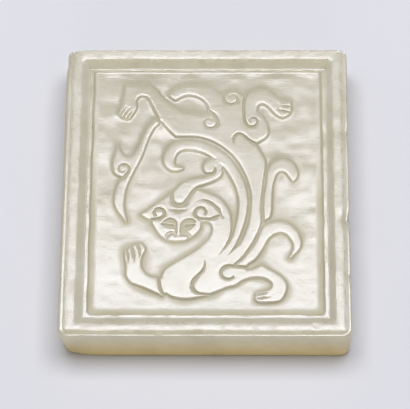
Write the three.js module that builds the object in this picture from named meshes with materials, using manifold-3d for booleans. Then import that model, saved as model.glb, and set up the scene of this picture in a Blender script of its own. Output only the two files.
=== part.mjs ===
// Carved jade pendant: a thick rectangular plaque with a moulded frame and a
// curling dragon in low relief inside it. It lies on its flat back, carved face up.
// Millimetres, origin under the middle of the back, +X across, +Y along, +Z up.
import * as THREE from 'three';
import Module from 'manifold-3d';
import { mergeVertices } from 'three/addons/utils/BufferGeometryUtils.js';

// The slab
const plaqueWidth = 56;
const plaqueLength = 63;
const plaqueThickness = 10;
const backEdgeBevel = 0.3;

// The moulded frame, as steps inward from the outer wall at the sides
const wallBevelWidth = 0.3;
const arrisWidth = 0.35;
const outerSlopeWidth = 0.43;
const ridgeWidth = 2;
const innerSlopeWidth = 1.38;
const lipWidth = 0.76;
const lipDropWidth = 0.38;
const filletWidth = 1.3;
// Along the top and the bottom each step is this much of its width at the sides
const endFrameNarrowing = 0.875;

// Corner radii: the outer wall's, the ridge's, the lip's outer edge and the field's
const topCornerRadius = 0.9;
const bottomCornerRadius = 1.5;
const ridgeCornerRadius = 0.8;
const lipCornerRadius = 0.2;
const fieldCornerRadius = 0.9;

// Depths under the crest of the ridge
const wallBevelDepth = 0.9;
const arrisDepth = 0.45;
const ridgeShoulderDepth = 0.12;
const lipDepth = 0.92;
const groundDepth = 1.42;
const filletHeight = 0.08;
// The fillet's knee, as shares of its width and height
const filletKneeOut = 0.4;
const filletKneeUp = 0.3;

// The relief
const reliefHeight = 0.5;
const reliefWallSlope = 0.3;
const reliefRoot = 0.4;
const grooveSlope = 1.1;
const eyeDepth = 0.4;
const eyelidHalfWidth = 0.18;
const curveStep = 0.6;

// The relief is drawn on a grid that spans the sunken field
const gridWidth = 45.56;
const gridLength = 53.87;

const ridgeStart = wallBevelWidth + arrisWidth + outerSlopeWidth;
const ridgeEnd = ridgeStart + ridgeWidth;
const lipStart = ridgeEnd + innerSlopeWidth;
const lipEnd = lipStart + lipWidth;
const fieldWidth = plaqueWidth - 2 * lipEnd;
const fieldLength = plaqueLength - 2 * lipEnd * endFrameNarrowing;
const acrossScale = fieldWidth / gridWidth;
const alongScale = fieldLength / gridLength;
const groundLevel = plaqueThickness - groundDepth;
const reliefLevel = groundLevel + reliefHeight;

const wasm = await Module();
wasm.setup();

// Solid geometry

function toSolid(geometry) {
  const bare = geometry.index ? geometry.clone() : geometry;
  bare.deleteAttribute('normal');
  bare.deleteAttribute('uv');
  const weldDistance = 1e-5;
  const merged = mergeVertices(bare, weldDistance);
  return new wasm.Manifold(new wasm.Mesh({
    numProp: 3,
    vertProperties: new Float32Array(merged.attributes.position.array),
    triVerts: new Uint32Array(merged.index.array),
  }));
}

function toGeometry(solid) {
  const mesh = solid.getMesh();
  const geometry = new THREE.BufferGeometry();
  geometry.setAttribute('position', new THREE.BufferAttribute(new Float32Array(mesh.vertProperties), 3));
  geometry.setIndex(new THREE.BufferAttribute(new Uint32Array(mesh.triVerts), 1));
  geometry.computeVertexNormals();
  return geometry;
}

// A closed body through rings of points, each ring turning the same way
function loft(rings) {
  const count = rings[0].length;
  const positions = rings.flat().flatMap((point) => point.toArray());
  const faces = [];
  for (let ring = 0; ring + 1 < rings.length; ring += 1) {
    for (let side = 0; side < count; side += 1) {
      const here = ring * count + side;
      const next = ring * count + (side + 1) % count;
      faces.push(here, next, next + count, here, next + count, here + count);
    }
  }
  const last = (rings.length - 1) * count;
  for (let side = 1; side + 1 < count; side += 1) {
    faces.push(0, side + 1, side, last, last + side, last + side + 1);
  }
  const geometry = new THREE.BufferGeometry();
  geometry.setAttribute('position', new THREE.Float32BufferAttribute(positions, 3));
  geometry.setIndex(faces);
  return geometry;
}

// A rounded rectangle, an inset in from the outer wall, at a level
function frameRing(inset, level, topRadius, bottomRadius = topRadius) {
  const halfWidth = plaqueWidth / 2 - inset;
  const halfLength = plaqueLength / 2 - inset * endFrameNarrowing;
  const cornerSides = 4;
  const points = [];
  for (let corner = 0; corner < 4; corner += 1) {
    const signX = corner === 0 || corner === 3 ? 1 : -1;
    const signY = corner < 2 ? 1 : -1;
    const radius = corner < 2 ? topRadius : bottomRadius;
    for (let step = 0; step <= cornerSides; step += 1) {
      const angle = (corner + step / cornerSides) * Math.PI / 2;
      points.push(new THREE.Vector3(
        signX * (halfWidth - radius) + radius * Math.cos(angle),
        signY * (halfLength - radius) + radius * Math.sin(angle),
        level,
      ));
    }
  }
  return points;
}

// The slab with its arris, broad ridge, inner slope and lip around the sunken ground
function framedSlab() {
  const crest = plaqueThickness;
  const arrisEnd = wallBevelWidth + arrisWidth;
  const dropEnd = lipEnd + lipDropWidth;
  const outer = (inset, level) => frameRing(inset, level, topCornerRadius, bottomCornerRadius);
  const field = (inset, level) => frameRing(inset, level, fieldCornerRadius);
  // The ridge is lowest at its two shoulders, and its crest runs along the middle
  const ridge = [0, 0.25, 0.5, 0.75, 1].map((share) => frameRing(
    ridgeStart + share * ridgeWidth,
    crest - ridgeShoulderDepth * (2 * share - 1) ** 2,
    ridgeCornerRadius,
  ));
  return loft([
    outer(backEdgeBevel, 0),
    outer(0, backEdgeBevel),
    outer(0, crest - wallBevelDepth),
    outer(wallBevelWidth, crest - arrisDepth),
    outer(arrisEnd, crest - arrisDepth),
    ...ridge,
    frameRing(lipStart, crest - lipDepth, lipCornerRadius),
    field(lipEnd, crest - lipDepth),
    field(dropEnd, groundLevel + filletHeight),
    field(dropEnd + filletKneeOut * filletWidth, groundLevel + filletKneeUp * filletHeight),
    field(dropEnd + filletWidth, groundLevel),
  ]);
}

// Curves of the drawing: each point is across, along and, for a stroke, half its width

// Points along one smooth run
function smooth(points) {
  const stations = points.map(([x, y, half = 0]) => new THREE.Vector3(
    x * acrossScale,
    y * alongScale,
    half * acrossScale,
  ));
  const spans = stations.length - 1;
  const curve = new THREE.CatmullRomCurve3(stations, false, 'centripetal');
  const path = [];
  for (let span = 0; span < spans; span += 1) {
    const gap = Math.hypot(
      stations[span + 1].x - stations[span].x,
      stations[span + 1].y - stations[span].y,
    );
    const steps = Math.max(1, Math.round(gap / curveStep));
    for (let step = 0; step < steps; step += 1) {
      path.push(curve.getPoint((span + step / steps) / spans));
    }
  }
  path.push(stations[spans]);
  return path;
}

// A turn or more around a centre, with radius and half-width easing from one end to the other
function curl(x, y, startRadius, endRadius, startAngle, endAngle, startHalf, endHalf) {
  const degreesApart = 40;
  const steps = Math.ceil(Math.abs(endAngle - startAngle) / degreesApart);
  const points = [];
  for (let step = 0; step <= steps; step += 1) {
    const share = step / steps;
    const angle = THREE.MathUtils.degToRad(startAngle + (endAngle - startAngle) * share);
    const radius = startRadius + (endRadius - startRadius) * share;
    points.push([
      x + radius * Math.cos(angle),
      y + radius * Math.sin(angle),
      startHalf + (endHalf - startHalf) * share,
    ]);
  }
  return points;
}

// Smooth runs that meet in corners, closed
function outline(...runs) {
  return runs.flatMap((run) => smooth(run).slice(0, -1));
}

// The square-on direction to the left of a path at each station
function leftward(path) {
  return path.map((station, place) => {
    const before = path[Math.max(place - 1, 0)];
    const after = path[Math.min(place + 1, path.length - 1)];
    return new THREE.Vector2(before.y - after.y, after.x - before.x).normalize();
  });
}

// Both edges of a tapering stroke, leaving out what folds over inside a tight bend
function strokeOutline(points) {
  const path = smooth(points);
  const left = leftward(path);
  const foldTolerance = 0.05;
  const edge = (side) => path
    .map((station, place) => new THREE.Vector3(
      station.x + side * left[place].x * station.z,
      station.y + side * left[place].y * station.z,
      0,
    ))
    .filter((point) => path.every((station) => (
      Math.hypot(point.x - station.x, point.y - station.y) > station.z - foldTolerance
    )));
  return [...edge(-1), ...edge(1).reverse()];
}

// A raised form: flat on top at the relief's level, its walls sloping out to the ground
function raised(points) {
  const shape = new THREE.Shape(points.map((point) => new THREE.Vector2(point.x, point.y)));
  const wallHeight = reliefHeight + reliefRoot;
  const base = 0.1;
  const geometry = new THREE.ExtrudeGeometry(shape, {
    depth: base,
    bevelSegments: 1,
    bevelThickness: wallHeight,
    bevelSize: reliefWallSlope * wallHeight,
  });
  geometry.translate(0, 0, groundLevel - reliefRoot - base);
  return toSolid(geometry);
}

// A flat-bottomed recess with the given outline
function recess(points) {
  const shape = new THREE.Shape(points.map((point) => new THREE.Vector2(point.x, point.y)));
  const geometry = new THREE.ExtrudeGeometry(shape, { depth: plaqueThickness, bevelEnabled: false });
  geometry.translate(0, 0, reliefLevel - eyeDepth);
  return toSolid(geometry);
}

// A cut of V section along a stroke, deeper where it is wider
function groove(points) {
  const path = smooth(points);
  const left = leftward(path);
  const overcut = 0.3;
  return toSolid(loft(path.map((station, place) => {
    const reach = station.z * (1 + overcut);
    const top = reliefLevel + station.z * grooveSlope * overcut;
    return [
      new THREE.Vector3(station.x - left[place].x * reach, station.y - left[place].y * reach, top),
      new THREE.Vector3(station.x, station.y, reliefLevel - station.z * grooveSlope),
      new THREE.Vector3(station.x + left[place].x * reach, station.y + left[place].y * reach, top),
    ];
  })));
}

// The dragon, from above: head low on the left, rump and tail above, four clawed legs

function headForms() {
  const face = outline(
    [[-12.65, -5.4], [-10.8, -3.85], [-9.05, -2.45], [-7.7, -1.35], [-6.7, -0.4]],
    [[-6.8, -0.4], [-4.5, 0.8], [-1.4, 0.2]],
    [[-1.4, 0.2], [1.0, -2.5], [2.5, -5.4]],
    [[2.5, -5.4], [0.2, -6.9], [-0.85, -6.9]],
    [[-0.85, -6.9], [-1.05, -8.45], [-2.1, -9.85], [-3.15, -10.6]],
    [[-3.15, -10.6], [-3.75, -11], [-5.45, -11.2], [-7.05, -11.1], [-7.8, -10.8]],
    [[-7.8, -10.8], [-8.6, -10.15], [-9.5, -8.95], [-10.4, -7.3]],
    [[-10.4, -7.3], [-10.5, -6.8]],
    [[-10.5, -6.8], [-11.45, -6.25], [-12.65, -5.4]],
  );
  const crest = strokeOutline([
    [-5, -2.3, 0.55], [-4.95, -1.2, 1.1], [-4.3, 0.2, 1.3], [-2.8, 1.3, 1.05], [-0.9, 1.95, 0.85],
    [1, 2.65, 0.8], [2.3, 3.5, 0.75], [2.6, 4.6, 0.68],
  ]);
  const crestCurl = outline(curl(1.35, 5.1, 1.85, 1.85, 0, 360).map(([x, y]) => [x, y]));
  return [face, crest, crestCurl];
}

function bodyForms() {
  const torso = outline(
    [[-1.4, 0.2], [2.2, -1.4], [3.6, -2.8], [4.6, -4.7], [4.95, -6.8], [4.95, -9.5]],
    [[4.95, -9.5], [8, -14]],
    [[8, -14], [8, -17], [7, -19.6]],
    [[7, -19.6], [4, -21.1], [1, -22.4], [-1.2, -23.1], [-4, -23.45], [-6.6, -22.8], [-8, -21.5],
      [-8.45, -19.8], [-8.2, -18.2], [-7.2, -16.7], [-5.4, -15.4], [-3, -13.9], [-0.8, -12.1],
      [0.85, -10.2], [1.35, -8.6], [1, -7.4], [0.2, -6.9]],
    [[0.2, -6.9], [-2, -5]],
  );
  const rump = outline(
    [[-6, 12], [-2, 11.95], [0.1, 11.45], [2.2, 10.4], [4.2, 8.85], [6, 6.75], [7.4, 4.2], [8.4, 1.5],
      [8.9, -1.2], [8.6, -6], [7.9, -8.8], [6.9, -11.3], [4.6, -14.6]],
    [[4.6, -14.6], [5.6, -16.4]],
    [[5.6, -16.4], [7.6, -14], [9.2, -11.2], [10.75, -7], [10.65, -4], [11.2, 2], [11.65, 6.4],
      [11, 8], [9.85, 10.2]],
    [[9.85, 10.2], [8, 14], [3.5, 21]],
    [[3.5, 21], [0.5, 18.2], [0.45, 17.2]],
    [[0.45, 17.2], [-1.2, 16.95], [-3.4, 17.2], [-5.5, 18], [-7.2, 19.2], [-8.8, 20.8], [-11.4, 23.7]],
    [[-11.4, 23.7], [-11.3, 20.2]],
    [[-11.3, 20.2], [-10.3, 18.2], [-9.1, 15.7], [-7.5, 13.6], [-6, 12]],
  );
  const mane = strokeOutline([
    [-4.5, 4.75, 0.12], [-5.5, 4.7, 0.5], [-6.7, 5.1, 0.8], [-7.25, 6.4, 1.08], [-7.05, 7.9, 1.12],
    [-5.9, 9.5, 1.15], [-3.9, 10.1, 1.15], [-1.8, 9.9, 1.15], [0.5, 9, 1.12], [2.8, 7.4, 1.1],
    [4.6, 5.3, 1.08], [6, 2.8, 1.03], [6.95, 0.3, 0.96], [7.3, -2.5, 0.88], [7.15, -5, 0.83],
    [6.6, -7.7, 0.78], [5.9, -10, 0.68], [5, -12.2, 0.6],
  ]);
  return [torso, rump, mane];
}

function flameForms() {
  const upperFlame = strokeOutline([
    [11.8, -6.9, 0.3], [12, -5, 0.7], [12.2, -0.5, 0.75], [12.5, 2, 0.8], [13.1, 4.2, 1.05],
    [14.4, 5.5, 1.4], [15.8, 5.3, 1.45], [16.9, 4.1, 1.1], [17.2, 2.9, 0.7], [17, 1.9, 0.2],
  ]);
  const lowerFlame = strokeOutline([
    [6.8, -16.2, 0.35], [8.6, -14.6, 1], [10.1, -12.3, 1.1], [11.2, -10, 1.2], [12.7, -8.5, 1.35],
    [14.6, -8.05, 1.3], [16.4, -8.9, 1.1], [17.5, -10.7, 0.9], [17.65, -12.4, 0.68], [16.3, -14.8, 0.1],
  ]);
  return [upperFlame, lowerFlame];
}

function tailForms() {
  const blade = strokeOutline([
    [-9, 15.9, 0.6], [-10.6, 14.5, 0.65], [-11.7, 12.4, 0.6], [-12.5, 10, 0.6], [-13.4, 7.8, 0.8],
    [-15.4, 3.1, 0.75], [-16.4, 0.9, 0.95], [-16.85, -1.3, 1], [-16.8, -3.4, 0.9], [-15.4, -7, 0.1],
  ]);
  const spur = outline(
    [[-13.2, 8.6], [-14.4, 7.7], [-15.4, 7.35], [-16.3, 7.9], [-17.35, 9.7]],
    [[-17.35, 9.7], [-18.25, 6.8], [-18.3, 5], [-17.9, 3.7], [-15.8, 2.9], [-14.5, 5]],
    [[-14.5, 5], [-13.2, 8.6]],
  );
  return [blade, spur];
}

function legForms() {
  const leftForeleg = outline(
    [[-8.6, -18.95], [-9.3, -18.9], [-10.5, -18.7], [-11.5, -18], [-12.2, -16.95], [-12.4, -15.55],
      [-12.1, -14.2], [-11.65, -13.25], [-11.65, -12.5]],
    [[-11.65, -12.5], [-12.5, -11.6], [-13.7, -11.85], [-14.65, -12.5], [-15.6, -13.3]],
    [[-15.6, -13.3], [-15.55, -14.8], [-15.2, -16.65], [-15.2, -18.45], [-14.75, -19.4], [-14.05, -20.15],
      [-12, -20.95], [-8.2, -22.8]],
    [[-8.2, -22.8], [-6.5, -21], [-8.6, -18.95]],
  );
  const rightForeleg = outline(
    [[5.6, -16.9], [8.55, -17.2], [9.8, -16.8], [10.9, -16.2]],
    [[10.9, -16.2], [12.75, -17.4], [14.5, -18.55], [15.55, -20.1], [15.55, -21.65], [15.05, -23],
      [14.6, -23.75]],
    [[14.6, -23.75], [13.6, -24.1], [10.3, -24.2], [9.7, -23.75], [9.75, -22.4]],
    [[9.75, -22.4], [10.3, -22.05], [11.5, -21.75], [12.4, -21.35], [12.85, -20.7], [12.8, -20.1],
      [11.85, -19.25], [10.3, -18.9], [8.4, -19.1], [6.8, -19.8], [5.95, -20.5], [4.2, -21]],
    [[4.2, -21], [3.6, -19.2], [5.6, -16.9]],
  );
  const leftHindLeg = outline(
    [[-11.2, 20], [-11.9, 20.95], [-12.75, 21.2], [-13.6, 20.85], [-14, 20], [-13.95, 18.4], [-15.2, 16]],
    [[-15.2, 16], [-16.4, 16.1], [-17.45, 17]],
    [[-17.45, 17], [-16.6, 20.2], [-16.2, 23.7]],
    [[-16.2, 23.7], [-11.4, 23.7]],
    [[-11.4, 23.7], [-9.5, 21.5], [-11.2, 20]],
  );
  const hindBand = outline(
    [[0.45, 17.2], [0.5, 18.2], [0.1, 19.3], [-0.7, 20.3], [-1.8, 21], [-3.2, 21.35], [-4.6, 21.15],
      [-6.15, 20.2]],
    [[-6.15, 20.2], [-6.8, 20.6], [-7.4, 21.3]],
    [[-7.4, 21.3], [-6.2, 22.6], [-4.3, 23.4], [-2, 23.6], [0.3, 23.2], [3.3, 21.3]],
    [[3.3, 21.3], [5.5, 22.05], [7.7, 20.9]],
    [[7.7, 20.9], [8, 17], [4, 15], [0.45, 17.2]],
  );
  const rightHindLeg = outline(
    [[7.7, 20.9], [8.6, 22], [9.8, 22.6], [11.2, 22.8], [12.4, 22.35], [14.5, 20.5], [16.8, 19.9]],
    [[16.8, 19.9], [16.75, 17.7], [16, 16.6], [14.9, 16.25], [13.9, 16.85], [12, 18.95], [11.1, 19.4],
      [10.3, 19.1], [9.95, 17.6]],
    [[9.95, 17.6], [11.2, 16.4], [12, 14.7], [12.25, 13], [11.9, 11.9], [9.85, 10.4]],
    [[9.85, 10.4], [6, 12], [7.7, 20.9]],
  );
  return [leftForeleg, rightForeleg, leftHindLeg, hindBand, rightHindLeg];
}

// Long grooves that part the body from the mane, the neck and the flames
const partingGrooves = [
  [[-6.6, 11.2, 0.3], [-4.5, 11.65, 0.36], [-2, 11.52, 0.38], [0.2, 10.95, 0.38], [2.3, 9.75, 0.38],
    [4.2, 8.1, 0.38], [5.9, 6, 0.38], [7.2, 3.5, 0.38], [8.1, 0.8, 0.38], [8.5, -2, 0.36],
    [8.4, -4.8, 0.34], [7.9, -7.4, 0.32], [7.1, -9.9, 0.3], [6.1, -12, 0.28], [4.7, -13.9, 0.08]],
  [[5.25, -8.3, 0.3], [4.95, -10.2, 0.28], [4.2, -11.9, 0.25], [2.8, -13.95, 0.06]],
  [[12, 7, 0.3], [11.65, 2.5, 0.33], [11, -3, 0.33], [11.05, -7.2, 0.3]],
  [[-10.1, 16.9, 0.2], [-9.5, 15.6, 0.32], [-8.8, 14.5, 0.3], [-8.3, 13.9, 0.15]],
  [[13.4, -6.1, 0.35], [12.3, -6.5, 0.35], [11.2, -7.5, 0.33], [9.6, -11, 0.33], [7.3, -14.7, 0.3],
    [5.8, -16.2, 0.3]],
];

// Grooves on the forelegs and chest
const chestGrooves = [
  [...curl(4.45, -17.95, 1.45, 1.4, -45, -260, 0.26, 0.34), [5.6, -16.6, 0.32], [8, -16.75, 0.32],
    [9.4, -16.2, 0.35], [10.6, -15.8, 0.35]],
  [[-0.1, -15.3, 0.06], [-0.05, -16.4, 0.18], [-0.5, -17.5, 0.24], [-2.2, -19.5, 0.3],
    [-2.45, -20.6, 0.31], [-2.1, -21.7, 0.31], [-1.2, -22.4, 0.31], [1.4, -22.6, 0.22]],
  [[-8.8, -18.2, 0.35], [-8.9, -19.6, 0.33], [-8.2, -22.3, 0.33], [-7.4, -23.2, 0.3]],
];

// Grooves of the head: around the crest, in its curl, across the brow, in both ears and the cheeks
const headGrooves = [
  [[-6.65, 0.2, 0.35], [-6.6, -1.2, 0.38], [-6.45, -2.4, 0.42], [-5.9, -3.2, 0.5], [-5.05, -3.4, 0.58],
    [-4.25, -3.1, 0.48], [-3.6, -2.2, 0.4], [-2.3, -0.1, 0.38], [-1.2, 0.65, 0.36], [0.2, 1.05, 0.3]],
  [[-0.5, 3.6, 0.3], [1.3, 3.65, 0.3], [1.8, 4.3, 0.28], [1.75, 5.1, 0.1]],
  [[-7, -4.3, 0.06], [-6.2, -4.58, 0.15], [-5.3, -4.72, 0.18], [-4.4, -4.6, 0.15], [-3.5, -4.25, 0.06]],
  [[-10.6, -6.55, 0.28], [-9.7, -6.4, 0.3], ...curl(-9.1, -5.1, 1.18, 0.86, -77, 223, 0.33, 0.27)],
  [[3.1, -5.6, 0.15], [2.1, -5.85, 0.28], [1.1, -6.4, 0.33],
    ...curl(-0.85, -5, 1.42, 0.9, -80, -375, 0.34, 0.24)],
  [[-1.4, -2.45, 0.06], [-0.3, -2.35, 0.22], [0.7, -2.7, 0.28], [1.7, -3.5, 0.3], [2.5, -4.5, 0.3],
    [3.2, -5.9, 0.1]],
  [[-5.75, -9.95, 0.12], [-6.2, -9.85, 0.16], [-6.85, -9.88, 0.16], [-7.28, -10.25, 0.16],
    [-7.35, -10.8, 0.15], [-7.1, -11.2, 0.12]],
  [[-5.05, -9.95, 0.12], [-4.4, -9.8, 0.16], [-3.7, -9.92, 0.16], [-3.3, -10.3, 0.16],
    [-3.35, -10.85, 0.15], [-3.65, -11.15, 0.12]],
  [[-7.85, -10.45, 0.07], [-7.6, -9.75, 0.11], [-6.85, -9.35, 0.12], [-6.2, -9.45, 0.11],
    [-5.75, -9.75, 0.07]],
  [[-2.9, -10.3, 0.07], [-3, -9.85, 0.11], [-3.55, -9.42, 0.12], [-4.3, -9.4, 0.11], [-4.85, -9.7, 0.07]],
];

// Scrolls on the hips and the tail, and the fold of the haunch
const scrollGrooves = [
  [[0.5, 17.7, 0.25], [1.3, 17.1, 0.28], ...curl(0.6, 15.1, 1.75, 0.6, 40, -320, 0.3, 0.13)],
  [[3.2, 21.5, 0.2], ...curl(5.1, 20.6, 1.65, 0.6, 180, 520, 0.25, 0.13)],
  [[7.8, 21.3, 0.3], [7.45, 20, 0.3], [7.5, 16.2, 0.28],
    ...curl(9.1, 15.35, 1.4, 0.5, 200, 560, 0.3, 0.13)],
  [[5.4, 10.6, 0.1], [5.5, 11.7, 0.3], [5.9, 12.3, 0.32], [6.7, 12.5, 0.28], [8.6, 11, 0.3],
    [9.9, 10.2, 0.35]],
  [...curl(-16.3, 4.6, 0.55, 1.3, 330, -45, 0.13, 0.3), [-16.2, 2.7, 0.3], [-17.3, 2.2, 0.3]],
];

// Fine cuts between the toes
const toeGrooves = [
  [[-15.3, -12.75, 0.15], [-15.05, -13.9, 0.18], [-14.85, -15.2, 0.15], [-14.85, -16, 0.06]],
  [[-14.4, -11.95, 0.16], [-14, -13.3, 0.19], [-13.75, -14.9, 0.15], [-13.7, -15.7, 0.06]],
  [[-13.2, -11.5, 0.16], [-12.75, -12.7, 0.18], [-12.6, -13.9, 0.15], [-12.65, -14.6, 0.06]],
  [[10.1, -22.68, 0.16], [11.2, -22.42, 0.17], [12.05, -22.2, 0.05]],
  [[10.1, -23.52, 0.16], [11.4, -23.35, 0.18], [12.5, -23.15, 0.05]],
  [[-17.2, 16.5, 0.2], [-16.7, 17.5, 0.2], [-16, 18.7, 0.06]],
  [[-16.55, 16.1, 0.2], [-16.05, 17.1, 0.2], [-15.35, 18.4, 0.06]],
  [[-15.8, 15.85, 0.2], [-15.35, 16.7, 0.2], [-14.7, 17.8, 0.06]],
  [[16.9, 18.65, 0.16], [15.6, 18.75, 0.18], [14.6, 19, 0.06]],
  [[16.8, 17.3, 0.2], [15.4, 17.6, 0.22], [13.9, 18.1, 0.06]],
];

// Hollows under the brows, one each side of the nose, and the eyelid left standing in each
const eyeHollows = [
  outline(
    [[-8.75, -7.4], [-8, -6.7], [-7.2, -6.2], [-6.2, -6.3], [-5.65, -6.9], [-5.5, -8], [-5.5, -9.6]],
    [[-5.5, -9.6], [-5.8, -9.6], [-5.95, -8.6], [-7.15, -8.4], [-8.1, -8.05], [-8.75, -7.4]],
  ),
  outline(
    [[-4.93, -9.55], [-4.93, -8.15], [-4.7, -7.15], [-3.85, -6.45], [-2.75, -6.3], [-1.9, -6.85],
      [-1.85, -7.45]],
    [[-1.85, -7.45], [-2.45, -8.15], [-3.15, -8.8], [-4.35, -9.5], [-4.93, -9.55]],
  ),
];
const eyelids = [
  [[-8.75, -7.1, eyelidHalfWidth], [-7.6, -7.3, eyelidHalfWidth], [-6.4, -7.5, eyelidHalfWidth / 2]],
  [[-3.85, -7.54, eyelidHalfWidth / 2], [-3, -7.42, eyelidHalfWidth], [-1.95, -7.35, eyelidHalfWidth]],
];

function carvedPlaque() {
  let solid = toSolid(framedSlab());
  for (const form of [...headForms(), ...bodyForms(), ...flameForms(), ...tailForms(), ...legForms()]) {
    solid = solid.add(raised(form));
  }
  for (const hollow of eyeHollows) {
    solid = solid.subtract(recess(hollow));
  }
  for (const lid of eyelids) {
    solid = solid.add(raised(strokeOutline(lid)));
  }
  for (const cut of [...partingGrooves, ...chestGrooves, ...headGrooves, ...scrollGrooves, ...toeGrooves]) {
    solid = solid.subtract(groove(cut));
  }
  return toGeometry(solid);
}

const jade = new THREE.MeshStandardMaterial({ color: 0xd8d2bd, roughness: 0.32, metalness: 0 });
const plaque = new THREE.Mesh(carvedPlaque(), jade);
plaque.name = 'jade_plaque';

const pendant = new THREE.Group();
pendant.add(plaque);

export default pendant;
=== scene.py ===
import math

import bpy
import numpy as np
from mathutils import Matrix, Vector
from mathutils.geometry import delaunay_2d_cdt


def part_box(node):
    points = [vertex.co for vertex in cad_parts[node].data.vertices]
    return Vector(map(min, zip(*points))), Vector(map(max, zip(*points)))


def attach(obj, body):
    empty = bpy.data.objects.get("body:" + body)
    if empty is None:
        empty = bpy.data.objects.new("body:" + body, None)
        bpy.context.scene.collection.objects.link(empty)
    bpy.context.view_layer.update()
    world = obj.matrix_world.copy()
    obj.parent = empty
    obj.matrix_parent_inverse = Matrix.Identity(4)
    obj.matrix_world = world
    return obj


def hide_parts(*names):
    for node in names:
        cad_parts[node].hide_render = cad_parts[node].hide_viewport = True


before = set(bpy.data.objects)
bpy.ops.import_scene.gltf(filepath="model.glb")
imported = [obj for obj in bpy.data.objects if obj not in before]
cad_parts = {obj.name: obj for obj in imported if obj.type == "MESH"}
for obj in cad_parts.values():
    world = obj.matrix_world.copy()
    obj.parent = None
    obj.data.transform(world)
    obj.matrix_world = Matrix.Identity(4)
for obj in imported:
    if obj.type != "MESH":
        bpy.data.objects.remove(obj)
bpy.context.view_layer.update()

MM = 0.001
low, high = (Vector(corner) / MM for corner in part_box("jade_plaque"))
HALF_WIDTH = (high.x - low.x) / 2
HALF_LENGTH = (high.y - low.y) / 2
CREST = high.z

# The moulded frame: widths inward from the outer wall, for left, right, top and bottom
WALL_BEVEL_WIDTH = np.array([0.42, 0.2, 0.4, 0.02])
ARRIS_WIDTH = np.array([0.46, 0.22, 0.04, 0.2])
OUTER_SLOPE_WIDTH = np.array([0.34, 0.6, 0.04, 0.6])
RIDGE_WIDTH = np.array([1.9, 2, 1.85, 1.83])
INNER_SLOPE_WIDTH = np.array([1.56, 1.22, 1.95, 1.2])
LIP_WIDTH = np.array([0.72, 0.8, 0.3, 0.7])
LIP_DROP_WIDTH = np.array([0.34, 0.4, 0.24, 0.4])
FILLET_WIDTH = 1.3
# Corner radii: the outer wall's at top right, top left, bottom left and bottom right, then the rest
CORNER_RADIUS = np.array([0.9, 0.9, 1.6, 1.5])
RIDGE_CORNER_RADIUS = 0.8
LIP_CORNER_RADIUS = 0.2
FIELD_CORNER_RADIUS = 0.9

# Depths under the crest, in the same order
WALL_BEVEL_DEPTH = np.array([0.65, 0.75, 1.1, 1.0])
ARRIS_DEPTH = np.array([0.22, 0.36, 0.1, 0.66])
LIP_DEPTH = np.array([0.92, 0.92, 1.24, 0.92])
GROUND_DEPTH = 1.42
FILLET_HEIGHT = np.array([0.08, 0.08, 0.0, 0.08])
RIDGE_SHARE = [0, 0.08, 0.25, 0.5, 0.75, 0.92, 1]
RIDGE_DEPTH = np.array([
    [0.12, 0.08, 0.03, 0, 0.03, 0.08, 0.12],
    [0.2, 0.14, 0.05, 0, 0.03, 0.08, 0.12],
    [0, 0.005, 0.015, 0.03, 0.055, 0.08, 0.11],
    [0.14, 0.09, 0.03, 0, 0.03, 0.07, 0.11],
]).T

# The relief
RELIEF_HEIGHT = 0.5
GROOVE_SLOPE = 1.1
EYE_DEPTH = 0.4
EYELID_HALF_WIDTH = 0.18
GROUND = CREST - GROUND_DEPTH
RELIEF = GROUND + RELIEF_HEIGHT

# The relief is drawn on a grid that spans the sunken field
GRID_WIDTH = 45.56
GRID_LENGTH = 53.87
RIDGE_START = WALL_BEVEL_WIDTH + ARRIS_WIDTH + OUTER_SLOPE_WIDTH
LIP_START = RIDGE_START + RIDGE_WIDTH + INNER_SLOPE_WIDTH
LIP_END = LIP_START + LIP_WIDTH
ACROSS = (2 * HALF_WIDTH - LIP_END[0] - LIP_END[1]) / GRID_WIDTH
ALONG = (2 * HALF_LENGTH - LIP_END[2] - LIP_END[3]) / GRID_LENGTH

# How finely the mesh follows the drawing
CURVE_STEP = 0.24
DEGREES_APART = 40
FOLD_TOLERANCE = 0.05
ROW_SPACING = 0.26
FILL_SPACING = 0.42
CLOSEST = 0.075
RIM_SPACING = 0.5
# The even fill is in triangles: a row's height and a point's clearance as shares of the spacing,
# and the clearance to the border in millimetres
ROW_HEIGHT = 0.866
FILL_CLEARANCE = 0.62
BORDER_CLEARANCE = 0.2


# Curves of the drawing

def smooth(points):
    """A centripetal Catmull-Rom curve through points of across, along and half-width."""
    knots = np.array([(p[0] * ACROSS, p[1] * ALONG, (p[2] if len(p) > 2 else 0.0) * ACROSS) for p in points])
    before = 2 * knots[0] - knots[1]
    after = 2 * knots[-1] - knots[-2]
    knots = np.vstack([before, knots, after])
    path = []
    for p0, p1, p2, p3 in zip(knots, knots[1:], knots[2:], knots[3:]):
        gap0, gap1, gap2 = (
            max(np.linalg.norm(b - a) ** 0.5, 1e-6)
            for a, b in ((p0, p1), (p1, p2), (p2, p3))
        )
        leave = ((p1 - p0) / gap0 - (p2 - p0) / (gap0 + gap1) + (p2 - p1) / gap1) * gap1
        arrive = ((p2 - p1) / gap1 - (p3 - p1) / (gap1 + gap2) + (p3 - p2) / gap2) * gap1
        count = max(1, math.ceil(np.linalg.norm((p2 - p1)[:2]) / CURVE_STEP))
        t = (np.arange(count) / count)[:, None]
        path.append(p1 + leave * t + (-3 * p1 + 3 * p2 - 2 * leave - arrive) * t ** 2
                    + (2 * p1 - 2 * p2 + leave + arrive) * t ** 3)
    path.append(knots[-2:-1])
    return np.vstack(path)


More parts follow.
